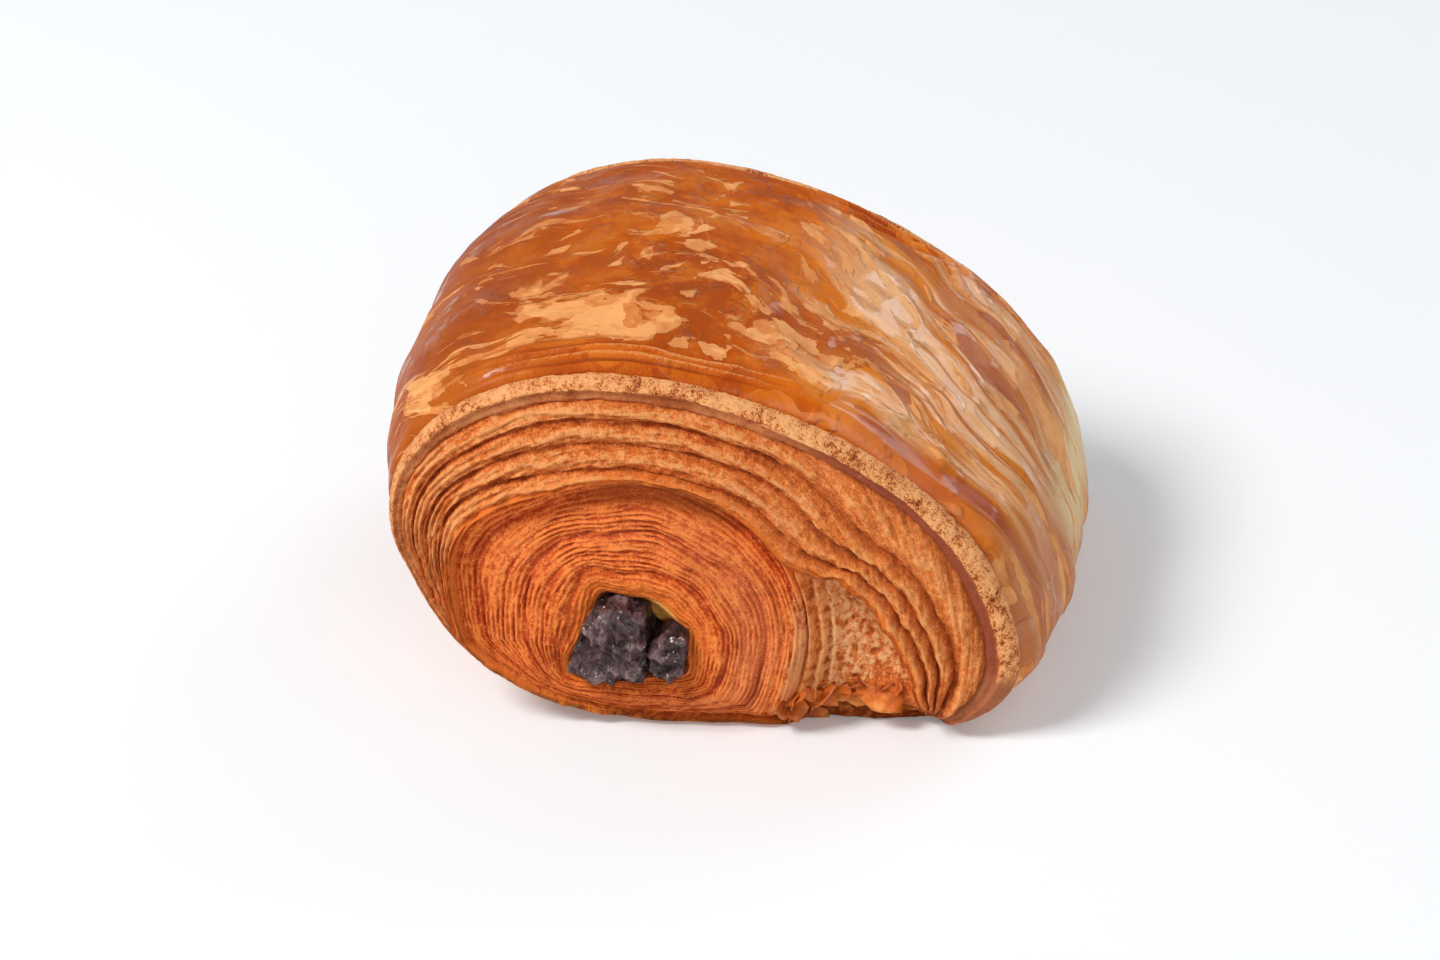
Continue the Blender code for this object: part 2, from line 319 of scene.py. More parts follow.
def coil_piece(name, side, seed, columns, fineness, finish):
    """The inner roll: from inside the mouth, over fine wound layers, to its edge, and back underneath."""
    face = Face(side, even_turns(columns))
    uneven = Unevenness(seed)
    inside, across, edge = 8, int(130 * fineness), 7
    funnel = stations((1, 0, inside), (0, 0, across), (0, 0, edge), (0, 0, 1), (1, 1, 1))
    place = stations((0, 0, inside), (0, 1, across), (1, 1, edge), (1, 1, 1), (0, 0, 1))
    fall = stations((0, 0, inside), (0, 0, across), (0, 1, edge), (1, 1, 1), (1, 1, 1))
    radius = face.mouth * (1 - 0.5 * funnel) + (face.coil - face.mouth) * place
    radius = radius + 0.7 * MM * np.sin(fall * math.pi / 2)
    wander = 0.8 * uneven.along(face.angle, radius, 1.5, 160)
    wander = wander + 0.15 * uneven.along(face.angle, radius, 5, 500)
    wound = place * FINE_RIDGES + face.angle / TURN + wander * blend(0, 0.1, place)
    strength = blend(-0.5, 0.6, uneven.along(face.angle, radius, 3.2, 420))
    fine = 0.62 + (ridges(wound, 1.5) - 0.62) * (0.25 + 0.85 * strength)
    split = 1 - 2.2 * np.abs(uneven.along(face.angle, radius, 1.3, 800, 2))
    middle = ridges(place * MIDDLE_RIDGES + 2 * face.angle / TURN + 0.6 * wander, 2.0)
    broad = ridges(place * BROAD_RIDGES + face.angle / TURN + 0.2 * wander, 2.4)
    thin = 1 - 2.2 * np.abs(uneven.along(face.angle, radius, 2.6, 1900, 2))
    crumb = uneven.layered(*on_face(face, radius, 1.1 * MM), 2)
    open_top = hump(face.angle, math.radians(84), 0.62) * blend(0.76, 0.86, place)
    relief = 0.48 * MM * (fine - 0.5) + 0.11 * MM * (split - 0.4) + 0.30 * MM * (middle - 0.6)
    relief = relief + 0.45 * MM * (broad - 0.6) + 0.09 * MM * (thin - 0.5) + 0.07 * MM * crumb
    relief = relief * (1 - 0.8 * open_top) * blend(-0.02, 0.06, place)
    relief = relief * (0.45 + 0.55 * blend(0.02, 0.40, place))
    slope = 1.5 * MM * np.maximum(1 - (radius - face.mouth) / (6 * MM), 0) ** 2
    sink = 1.6 * MM * place**1.5 + slope * (1 - funnel) + 1.3 * MM * open_top
    deep = 4.5 * MM * funnel**0.8 + 5 * MM * (1 - np.cos(fall * math.pi / 2))
    lift = relief - sink - deep + broad_lumps(uneven, face, radius)
    places = face.place(radius, lift)
    crest = 0.46 * fine + 0.10 * split + 0.18 * middle + 0.18 * broad + 0.10 * thin
    rosy = blend(0.25, 0.50, place) * blend(0.95, 0.70, place) * (0.6 + 0.4 * np.sin(face.angle + 2))
    marks = {
        "crest": crest,
        "flow": face.flow(radius),
        # Painted shadow: this mark colours the mouth's wall and inner edge dark brown-red.
        "inner": np.maximum(funnel**0.5, 1 - blend(0.0, 0.04, place)),
        "raw": hump(face.angle, math.radians(48), 0.5) * blend(0.09, 0.0, place),
        "edge": blend(0.80, 0.98, place) * hump(face.angle, math.radians(-12), 0.55),
        "shade": open_top,
        "near": blend(0.30, 0.02, place),
        "rosy": rosy,
    }
    return bent_grid(name, places, marks, finish, "dough")


def on_face(face, radius, size):
    """Noise places on the face, with cells of the given size."""
    x = (COIL_X + radius * np.cos(face.angle)) / size
    z = (COIL_Z + radius * np.sin(face.angle)) / size
    return x, 3.7 * face.side, z


def broad_lumps(uneven, face, radius):
    """The slow rise and fall of a piece of a face."""
    return 0.4 * MM * uneven.layered(*on_face(face, radius, 8 * MM))


def torn_hollow(face, radius):
    """1 in the torn hollow at the foot of the open wedge, falling to 0 round it."""
    low = blend(7.5 * MM, 11 * MM, -radius * np.sin(face.angle))
    across = radius * np.cos(face.angle)
    return low * blend(20 * MM, 25 * MM, across) * blend(43 * MM, 39 * MM, across)


def layer_position(angle, place):
    """The outer layers counted from the inside: thin at the left, the outermost broad at the right."""
    to_right = blend(math.radians(60), math.radians(18), np.abs(angle))
    to_left = blend(math.radians(100), math.radians(150), np.abs(angle))
    position, start = 0, 0
    for top, right, left in zip(WRAP_SHARES_TOP, WRAP_SHARES_RIGHT, WRAP_SHARES_LEFT):
        share = top + (right - top) * to_right + (left - top) * to_left
        position = position + np.clip((place - start) / share, 0, 1)
        start = start + share
    return position


def wraps_piece(name, side, seed, columns, fineness, finish):
    """The outer layers: from under the coil, over the open wedge of crumb, to the groove inside the rim."""
    face = Face(side, even_turns(columns))
    uneven = Unevenness(seed)
    under, open_rows, layer_rows = 3, int(58 * fineness), int(96 * fineness)
    tuck = stations((1, 0, under), (0, 0, open_rows), (0, 0, layer_rows), (0, 0, 1))
    gap = stations((0, 0, under), (0, 1, open_rows), (1, 1, layer_rows), (1, 1, 1))
    place = stations((0, 0, under), (0, 0, open_rows), (0, 1, layer_rows), (1, 1, 1))
    lip_edge = 0.9 * MM * uneven.along(face.angle, 0 * face.rim, 9.0, 0, 3)
    inner_edge = face.wraps + lip_edge * blend(1 * MM, 4 * MM, face.wraps - face.coil)
    radius = face.coil + (inner_edge - face.coil) * gap + (face.groove - inner_edge) * place
    radius = radius - 2.0 * MM * tuck
    room = np.minimum((face.groove - face.wraps) / (6 * MM), 1)
    left = hump(face.angle, math.pi, 1.3)
    inner_fade, outer_fade = blend(0, 0.15, place), blend(1, 0.85, place)
    drift = 0.05 * uneven.along(face.angle, radius, 1.2, 90) * inner_fade * outer_fade
    layer = layer_position(face.angle, np.clip(place + drift, 0, 1))
    major = ridges(layer, 2.6)
    swing = 0.6 * uneven.along(face.angle, radius, 2.2, 220)
    swing = swing + 0.2 * uneven.along(face.angle, radius, 6, 500)
    thin_side = blend(math.radians(100), math.radians(145), np.abs(face.angle))
    minor = ridges(layer * 2 + 0.5 + swing, 1.5) * (1 - thin_side)
    minor = (minor + ridges(layer * 3 + 0.25 + swing, 1.2) * thin_side) ** (1 + 0.5 * left)
    minor = minor * (0.75 + 0.6 * uneven.along(face.angle, radius, 3.0, 400))
    split = 1 - 2.2 * np.abs(uneven.along(face.angle, radius, 1.8, 700, 2))
    fine = 1 - 2.2 * np.abs(uneven.along(face.angle, radius, 4.0, 1700, 2))
    crumb = uneven.layered(*on_face(face, radius, 1.0 * MM), 2)
    pleats = 1 + 0.5 * blend(math.radians(50), math.radians(15), np.abs(face.angle))
    relief = 1.45 * MM * (major - 0.75) * (1 - 0.4 * left) * pleats
    relief = relief + 0.90 * MM * (minor - 0.4) * (0.40 + 0.60 * left)
    relief = relief + 0.16 * MM * (split - 0.4) + 0.10 * MM * (fine - 0.3)
    relief = relief * room + 0.20 * MM * crumb
    lip = np.exp(-place * (face.groove - face.wraps) / (1.1 * MM)) * blend(0.9, 1.0, gap)
    width = np.maximum(face.wraps - face.coil, 0.1 * MM)
    from_coil, from_lip = gap * width, (1 - gap) * width
    from_wall = np.minimum(from_coil, from_lip)
    floor_depth = WEDGE_DEPTH + WEDGE_SLOPE * blend(0, 4 * MM, from_wall)
    lip_wall = blend(1.5 * MM, 0.3 * MM, from_lip) * (gap < 1) * (gap > 0)
    leaves = ridges(from_coil / (1.7 * MM) + 0.5 * swing, 1.4) * blend(6.5 * MM, 3 * MM, from_coil)
    leaves = leaves * blend(0.2 * MM, 0.8 * MM, from_coil) * blend(2 * MM, 5 * MM, width)
    puckers = 1 - 0.65 * np.abs(uneven.layered(*on_face(face, radius, 1.15 * MM), 3))
    puckers = puckers - 0.75 * np.abs(uneven.along(face.angle, radius, 11, 900, 3))
    wedge_floor = 0.55 * MM * (puckers - 0.6) * blend(0.5 * MM, 3 * MM, from_wall) + 1.3 * MM * leaves
    wedge_floor = wedge_floor - floor_depth * blend(0, 0.9 * MM, from_lip)
    torn = torn_hollow(face, radius)
    lift = np.where(gap < 1, wedge_floor, relief * blend(0, 0.02, place) + 0.9 * MM * lip)
    lift = lift - TUCK_DEPTH * tuck - TORN_LAYERS * torn
    lift = lift + broad_lumps(uneven, face, radius)
    places = face.place(radius, lift)
    in_gap = blend(0.995, 0.9, gap)
    crest = 0.46 * major + (0.16 + 0.26 * left) * minor + 0.12 * split + 0.14 * fine + 0.10 * crumb
    crest = crest * (1 - in_gap) + in_gap * (0.75 * puckers + 0.35 * leaves)
    marks = {
        "crest": crest,
        "flow": face.flow(radius),
        "crumb": in_gap * blend(0.3 * MM, 1.5 * MM, from_wall) * blend(1 * MM, 5 * MM, from_coil),
        "lip": np.maximum(lip, lip_wall),
        # Painted light: marks the right side of the layers for brightening.
        "right": hump(face.angle, 0.35, 0.55),
        "torn": torn,
        "bottom": face.bottom,
    }
    return bent_grid(name, places, marks, finish, "dough")


def rim_piece(name, side, seed, columns, rows, finish):
    """The cut edge of the outermost layer: a matt rounded band that stands proud of the face."""
    face = Face(side, even_turns(columns))
    uneven = Unevenness(seed)
    over = stations((0, 1, rows), (1, 1, 1), (0, 0, 1))
    sunk = stations((0, 0, rows), (1, 1, 1), (1, 1, 1))
    arc = -0.35 + (math.pi / 2 + 0.75) * over
    band = face.rim - face.groove
    swell = 1 + 0.18 * uneven.along(face.angle, 0 * face.rim, 4.0, 0)
    outward = np.clip(np.sin(np.clip(arc, -0.35, math.pi / 2)), -0.4, 1)
    radius = face.groove + band * (0.30 + 0.70 * outward) - 0.02 * face.rim * blend(1.7, 2.0, arc)
    height = np.cos(arc) * (1.5 * MM + 0.9 * MM * (arc > 0.6) * blend(0.6, 1.8, arc)) * swell
    room = np.minimum(band / (2 * MM), 1)
    grain = uneven.layered(*on_face(face, radius, 0.9 * MM), 3)
    wander = 0.04 * uneven.along(face.angle, 0 * face.rim + 1, 3.0, 0)
    narrow = blend(math.radians(70), math.radians(35), np.abs(face.angle))
    shift = wander - 0.08 * narrow
    ledge = blend(0.33 + shift, 0.19 + shift, over)
    lift = (height - 0.55 * MM - 0.8 * MM * ledge) * room + 0.10 * MM * grain
    lift = lift + broad_lumps(uneven, face, radius)
    radius = radius + 0.08 * MM * uneven.layered(*on_face(face, radius + 5 * MM, 0.8 * MM), 2)
    torn = torn_hollow(face, radius)
    radius = radius - 3 * MM * sunk * room
    lift = lift - TUCK_DEPTH * sunk - TORN_RIM * torn
    places = face.place(radius, lift)
    marks = {
        "crest": 0.75 + 0.25 * grain,
        "flow": face.flow(radius + face.side * lift),
        "under": ledge * (1 - 0.6 * hump(face.angle, math.pi, 1.0)),
        "narrow": narrow,
        "foot": blend(math.radians(-2.5), math.radians(-6), face.angle) * (face.angle > -1),
        "bottom": face.bottom,
        # Painted shade: marks the left side of the rim for darkening.
        "left": hump(face.angle, math.radians(185), 0.9),
        "torn": torn,
    }
    return bent_grid(name, places, marks, finish, "dough")


def crust_piece(name, seed, columns, rows, finish):
    """The glazed skin: a wrinkled and folded sleeve from rim to rim, closed underneath itself."""
    turns = even_turns(columns)
    front, back = Face(FRONT, turns), Face(BACK, turns)
    uneven = Unevenness(seed)
    along = stations((0, 1, rows), (1, 1, 1), (0, 0, 1))
    sunk = stations((0, 0, rows), (1, 1, 1), (1, 1, 1))
    torn = torn_hollow(front, front.rim)
    start = front.place(front.rim, SKIN_END)[..., 1] + TORN_SKIN * torn
    end = back.place(back.rim, SKIN_END)[..., 1] - TORN_SKIN * torn_hollow(back, back.rim)
    y = start + (end - start) * (along - 0.06 * np.sin(TURN * along))
    x, z = section(turns, narrowing(y))
    next_x, next_z = section(turns + 0.001, narrowing(y))
    slant = np.maximum(np.hypot(next_x - x, next_z - z), 1e-9)
    out_x, out_z = (next_z - z) / slant, -(next_x - x) / slant
    from_front, from_back = np.maximum(y - start, 0), np.maximum(end - y, 0)
    edge = np.minimum(from_front, from_back)
    angle = np.arctan2(z - WAIST, x - CENTRE_SHIFT)
    right = hump(angle, math.radians(35), 0.9)
    bend = 2.2 * uneven.along(angle, y, 2.0, 60)
    drift = 46 * MM * blend(math.radians(95), math.radians(-25), angle) * blend(-2.3, -1.0, angle)
    flowing = y + drift * blend(-36 * MM, 6 * MM, y) + 2.5 * MM * bend
    wrinkle = uneven.along(angle, flowing, 2.6, 130, 2)
    crease = 1 - np.abs(uneven.along(angle + 0.4, flowing, 2.8, 110, 2)) * 2.4
    small = uneven.along(angle, flowing, 9.0, 380, 2) * (1 - 0.5 * right)
    body = uneven.layered(x / (16 * MM), y / (16 * MM), z / (16 * MM), 2)
    wrinkled = (0.16 + 0.84 * right) * blend(1 * MM, 5 * MM, edge)
    folds = edge_folds(uneven, angle, from_front) + 0.7 * edge_folds(uneven, angle + 1.0, from_back)
    relief = 0.8 * MM * body + wrinkled * (0.42 * MM * wrinkle + 0.40 * MM * np.maximum(crease, 0) ** 2)
    relief = relief + 0.10 * MM * small + 0.75 * MM * folds
    shoulder = -1.5 * MM * np.maximum(1 - edge / (1.7 * MM), 0) ** 2
    offset = relief * blend(0.4 * MM, 6 * MM, z) + shoulder * blend(0, 2 * MM, z)
    offset = offset - TUCK_DEPTH * sunk * blend(-1, 3 * MM, z)
    x = x + out_x * offset
    z = np.maximum(z + out_z * offset, 0) + 1.0 * MM * sunk * (z < 1 * MM)
    places = np.stack(np.broadcast_arrays(x, y, z), axis=-1)
    folded = hump(angle, 1.80, 0.62) * blend(6.5 * MM, 4.5 * MM, from_front)
    collar = blend(6.5 * MM, 2.5 * MM, from_front + 1.5 * MM * bend)
    marks = {
        "flow": np.stack((MEAN_RADIUS * np.cos(angle), MEAN_RADIUS * np.sin(angle), flowing), axis=-1),
        "edge": blend(14 * MM, 3 * MM, from_front),
        "fold": folds,
        "flaky": np.exp(-(((from_front - 11 * MM) / (6 * MM)) ** 2)) * hump(angle, 1.95, 0.7),
        "torn": torn * blend(14 * MM, 5 * MM, edge),
        "folded": folded + hump(angle + 1.0, 1.80, 0.75) * blend(6.5 * MM, 4.5 * MM, from_back),
        # Marks the left side for a darker reddish-brown. This is partly the crust's own tone and partly
        # painted shade.
        "left": hump(angle, math.radians(165), 0.75),
        "right": blend(1.45, 0.80, np.abs(angle)),
        "low_right": blend(0.20, -0.15, angle) * blend(-2.8, -1.2, angle),
        "glossy": hump(angle, math.radians(50), 0.55),
        "collar": collar * blend(1.5, 1.0, angle) * blend(-0.05, 0.20, angle),
        "pale": np.exp(-(((angle + 0.09 - 0.05 * wrinkle) / 0.13) ** 2)) * blend(-15 * MM, -5 * MM, y),
    }
    return bent_grid(name, places, marks, finish, "dough")


def edge_folds(uneven, angle, distance):
    """The thin folds in the skin beside the rim, strongest on the upper left."""
    total = 0
    for distance_in, width, height, middle in EDGE_FOLDS:
        wobble = 0.5 * uneven.along(angle, distance_in, 2.0, 1)
        off = (distance / MM - distance_in - wobble) / width
        total = total + height * hump(angle, middle, 0.62) * np.exp(-(off**2))
    return total


def at_the_torn_foot(x, y, z):
    """Whether places lie on the front face beside the torn hollow."""
    return (z > 2.5 * MM) & (z < 6.5 * MM) & (x > 12 * MM) & (x < 28 * MM) & (y < 0)


def flakes_piece(name, carrier, seed, finish):
    """Small torn leaves of skin that lift off their carrier: bent grids, each given a thickness."""
    mesh = carrier.data
    points = vertex_places(mesh)
    rng = np.random.default_rng(seed)
    found = np.flatnonzero(at_the_torn_foot(*points.T))
    work = bmesh.new()
    for index in rng.choice(found, LEAF_COUNT, replace=False):
        spot, up = Vector(points[index]), mesh.vertex_normals[index].vector
        turned = rng.normal(0, 0.5)
        out = Vector((math.sin(turned), -math.cos(turned), -LEAF_HANG))
        out = (out - up * out.dot(up)).normalized()
        side = out.cross(up)
        long, wide = LEAF_SIZE * rng.uniform(0.6, 1.3), LEAF_SIZE * rng.uniform(0.25, 0.6)
        rise, skew = LEAF_CURL * rng.uniform(0.5, 1.3), rng.uniform(-0.5, 0.5)
        made = bmesh.ops.create_grid(work, x_segments=6, y_segments=4, size=0.5)
        for vert in made["verts"]:
            u, v = vert.co.x, vert.co.y + 0.5
            taper = 1 - 1.6 * u * u + rng.uniform(-0.08, 0.08)
            height = rise * (v**1.6) * (1 - 1.5 * u * u) - 0.12 * MM
            across = side * long * (u + skew * v * 0.4)
            vert.co = spot + across + out * wide * v * taper + up * height
    bmesh.ops.solidify(work, geom=work.faces[:], thickness=LEAF_THICKNESS)
    for vert in work.verts:
        vert.co.z = max(vert.co.z, 0.2 * MM + 0.1 * vert.co.z)
    made = bpy.data.meshes.new(name)
    work.to_mesh(made)
    work.free()
    return closed(name, made, finish, "dough")


def baton_piece(name, corners, length, seed, cuts, finish):
    """A chocolate baton: a cube cut finely, drawn out along the roll, and roughened where its ends show."""
    work = bmesh.new()
    bmesh.ops.create_cube(work, size=2.0)
    bmesh.ops.subdivide_edges(work, edges=work.edges[:], cuts=cuts, use_grid_fill=True)
    bmesh.ops.recalc_face_normals(work, faces=work.faces)
    mesh = bpy.data.meshes.new(name)
    work.to_mesh(mesh)
    work.free()
    a, b, c = vertex_places(mesh).T
    round_a = a * np.sqrt(1 - 0.22 * c * c)
    round_c = c * np.sqrt(1 - 0.22 * a * a)
    share_a, share_c = (round_a / 0.95 + 1) / 2, (round_c / 0.95 + 1) / 2
    low_left, low_right, high_right, high_left = [np.array(corner) * MM for corner in corners]
    low = low_left[:, None] * (1 - share_a) + low_right[:, None] * share_a
    high = high_left[:, None] * (1 - share_a) + high_right[:, None] * share_a
    x, z = low * (1 - share_c) + high * share_c
    end, at_end = np.sign(b), blend(0.75, 1.0, np.abs(b))
    y = end * (1 - (1 - np.abs(b)) ** 2.2) * length / 2
    y = y + end * (1.0 * MM - 2.0 * MM * (a * a + c * c) / 2) * at_end
    uneven = Unevenness(seed)
    lump = uneven.layered(x / (3.4 * MM), y / (3.4 * MM), z / (3.4 * MM), 4)
    pit = np.abs(uneven.layered(x / (1.5 * MM) + 5, y / (1.5 * MM), z / (1.5 * MM), 3))
    fold = 1 - 2 * np.abs(uneven.layered(x / (3.0 * MM), y / (3.0 * MM) + 9, z / (4.5 * MM), 2))
    grow = 0.45 * MM * lump - 0.35 * MM * pit + 0.15 * MM * fold + 0.1 * MM
    away = np.stack((x - x.mean(), end * 5 * MM * at_end**3, z - z.mean()))
    away = away / np.maximum(np.linalg.norm(away, axis=0), 1e-9)
    y = y + end * at_end**3 * (0.75 * MM * fold + 0.45 * MM * lump - 0.2 * MM)
    x, y, z = np.stack((x, y, z)) + away * grow
    mesh.vertices.foreach_set("co", np.stack((x, y, z), axis=-1).ravel())
    layer = mesh.attributes.new("crest", "FLOAT", "POINT")
    layer.data.foreach_set("value", 0.45 + 0.4 * lump - 0.6 * pit + 0.2 * fold)
    return closed(name + "_rough", mesh, finish, name)


class Value:
    """A shader socket that can be used in sums, each of which adds a Math node."""

    def __init__(self, finish, socket):
        self.finish = finish
        self.socket = socket

    def maths(self, operation, first, second):
        return self.finish.node("ShaderNodeMath", {"operation": operation}, {0: first, 1: second})

    def __add__(self, other):
        return self.maths("ADD", self, other)

    def __sub__(self, other):
        return self.maths("SUBTRACT", self, other)

    def __rsub__(self, other):
        return self.maths("SUBTRACT", other, self)

    def __mul__(self, other):
        return self.maths("MULTIPLY", self, other)

    __radd__ = __add__
    __rmul__ = __mul__


class Finish:
    """A material that is put together node by node."""

    def __init__(self, name, constants):
        self.material = bpy.data.materials.new(name)
        self.material.use_nodes = True
        self.tree = self.material.node_tree
        self.shader = self.tree.nodes["Principled BSDF"]
        for socket, value in constants.items():
            self.shader.inputs[socket].default_value = value

    def node(self, kind, settings=None, inputs=None, output=0):
        made = self.tree.nodes.new(kind)
        for key, value in (settings or {}).items():
            if key == "stops":
                self.set_stops(made.color_ramp.elements, value)
            else:
                setattr(made, key, value)
        for key, value in (inputs or {}).items():
            self.feed(made.inputs[key], value)
        return Value(self, made.outputs[output])

    def set_stops(self, elements, stops):
        while len(elements) < len(stops):
            elements.new(1.0)
        for element, (position, colour) in zip(elements, stops):
            element.position = position
            element.color = (*colour, 1.0)

    def feed(self, socket, value):
        if isinstance(value, Value):
            self.tree.links.new(value.socket, socket)
        elif isinstance(value, tuple) and len(value) == 3 and socket.type == "RGBA":
            socket.default_value = (*value, 1.0)
        else:
            socket.default_value = value

    def set(self, socket, value):
        self.feed(self.shader.inputs[socket], value)

    def mark(self, name, is_vector=False):
        return self.node("ShaderNodeAttribute", {"attribute_name": name}, output=1 if is_vector else 2)

    def place(self):
        return self.node("ShaderNodeTexCoord", output=3)

    def stretched(self, vector, scale, shift=(0, 0, 0)):
        return self.node("ShaderNodeMapping", inputs={"Vector": vector, "Scale": scale, "Location": shift})

    def noise(self, vector, scale=1.0, detail=3.0, roughness=0.5, distortion=0.0):
        inputs = {"Vector": vector, "Scale": scale, "Detail": detail, "Roughness": roughness}
        return self.node("ShaderNodeTexNoise", inputs={**inputs, "Distortion": distortion})

    def cells(self, vector, scale, output=0):
        """Distance to the middle of the nearest cell, or with output 1 the cell's own random colour."""
        return self.node("ShaderNodeTexVoronoi", inputs={"Vector": vector, "Scale": scale}, output=output)

    def ragged(self, vector, scale, amount):
        """The vector pushed about by noise, so that a pattern on it gets ragged edges."""
        inputs = {"Vector": vector, "Scale": scale, "Detail": 3.0}
        push = self.node("ShaderNodeTexNoise", inputs=inputs, output=1)
        inputs = {0: push, 1: (amount, amount, amount), 2: vector}
        return self.node("ShaderNodeVectorMath", {"operation": "MULTIPLY_ADD"}, inputs)

    def step(self, value, low, high):
        """0 below low and 1 above high, with a smooth edge between."""
        inputs = {"Value": value, "From Min": low, "From Max": high}
        return self.node("ShaderNodeMapRange", {"interpolation_type": "SMOOTHSTEP"}, inputs)

    def colours(self, value, *stops):
        return self.node("ShaderNodeValToRGB", {"stops": stops}, {"Fac": value})

    def mix(self, factor, first, second):
        inputs = {MIX_FACTOR: factor, MIX_FIRST: first, MIX_SECOND: second}
        return self.node("ShaderNodeMix", {"data_type": "RGBA"}, inputs, MIX_RESULT)

    def bump(self, height, distance):
        return self.node("ShaderNodeBump", inputs={"Height": height, "Distance": distance, "Strength": 1.0})


def layered_dough(name, valley, flank, crest_colour, specks, streaky):
    """Matt flaky layers: dark in the valleys and pale and grainy on the crests, partly as painted shade and
    painted highlight.
    """
    finish = Finish(name, {"Specular IOR Level": 0.25})
    crest = finish.mark("crest")
    flow = finish.mark("flow", is_vector=True)
    place = finish.place()
    streaks = finish.noise(finish.stretched(flow, (330, 330, 2400)), detail=3, roughness=0.6)
    grain = finish.noise(place, 3400, detail=3, roughness=0.75)
    cloud = finish.noise(place, 150, detail=3)
    lumps = finish.noise(place, 1100, detail=4, roughness=0.65)
    level = crest + (streaks - 0.5) * streaky + (grain - 0.5) * specks + (cloud - 0.5) * 0.35
    level = level + (lumps - 0.5) * specks
    # Colour by relief height: darker in the valleys and paler on the crests. This is partly the dough's own
    # tones and partly painted shade and painted highlight.
    colour = finish.colours(level, (0.14, valley), (0.48, flank), (0.80, crest_colour))
    # Painted shade: small dark pits in the valley colour.
    pit_shade = finish.step(finish.cells(place, 1500), 0.22, 0.10)
    colour = finish.mix(pit_shade * 0.45, colour, valley)
    # Painted glints: small pale specks on the grain.
    colour = finish.mix(finish.step(grain, 0.60, 0.68) * 0.35, colour, (1.0, 0.55, 0.28))
    return finish, colour, level, grain + lumps, streaks


def coil_finish():
    finish, colour, level, grain, streaks = layered_dough(
        "inner roll", (0.31, 0.027, 0.001), (0.60, 0.072, 0.003), (0.93, 0.25, 0.042), 1.05, 0.35
    )
    colour = finish.mix(finish.step(finish.mark("shade"), 0.2, 0.9) * 0.6, colour, (0.40, 0.095, 0.012))
    colour = finish.mix(finish.mark("near") * 0.55, colour, (0.84, 0.19, 0.020))
    colour = finish.mix(finish.mark("rosy") * grain * 0.30, colour, (0.76, 0.26, 0.10))
    # Painted shadow in the mouth round the batons.
    colour = finish.mix(finish.step(finish.mark("inner"), 0.2, 0.9), colour, (0.26, 0.05, 0.010))
    colour = finish.mix(finish.step(finish.mark("raw"), 0.35, 0.7), colour, (0.95, 0.42, 0.09))
    crumbly = finish.step(finish.mark("edge") + (grain - 1.0) * 1.5 + (streaks - 0.5) * 1.5, 0.3, 0.8)
    colour = finish.mix(crumbly * 0.7, colour, (0.92, 0.44, 0.17))
    finish.set("Base Color", colour)
    finish.set("Roughness", 0.62 - 0.15 * streaks)
    finish.set("Normal", finish.bump(level * 0.6 + grain * 0.4, 0.22 * MM))
    return finish.material


def wraps_finish():
    finish, colour, level, grain, streaks = layered_dough(
        "outer layers", (0.40, 0.056, 0.004), (0.76, 0.170, 0.023), (0.96, 0.40, 0.130), 1.10, 0.30
    )
    # Painted light: the right side of the layers brightened.
    colour = finish.mix(finish.mark("right") * 0.20, colour, (1.0, 0.35, 0.080))
    sponge = finish.noise(finish.place(), 700, detail=4, roughness=0.65)
    crumb = finish.colours(
        sponge * 0.5 + level * 0.5,
        (0.30, (0.50, 0.095, 0.013)),
        (0.46, (0.82, 0.25, 0.055)),
        (0.60, (1.0, 0.54, 0.24)),
    )
    colour = finish.mix(finish.mark("crumb"), colour, crumb)
    lip = finish.step(finish.mark("lip") + (streaks - 0.5) * 1.6, 0.15, 0.8)
    colour = finish.mix(lip * 0.8, colour, (0.92, 0.22, 0.028))
    colour = finish.mix(finish.mark("bottom"), colour, finish.colours(streaks, *WOUND))
    ripped = finish.colours(
        sponge, (0.38, (0.28, 0.045, 0.005)), (0.52, (0.52, 0.11, 0.010)), (0.64, (0.78, 0.27, 0.05))
    )
    colour = finish.mix(finish.step(finish.mark("torn"), 0.3, 0.8), colour, ripped)
    finish.set("Base Color", colour)
    finish.set("Roughness", 0.66 - 0.12 * streaks)
    finish.set("Normal", finish.bump(level * 0.4 + grain * 0.5, 0.40 * MM))
    return finish.material


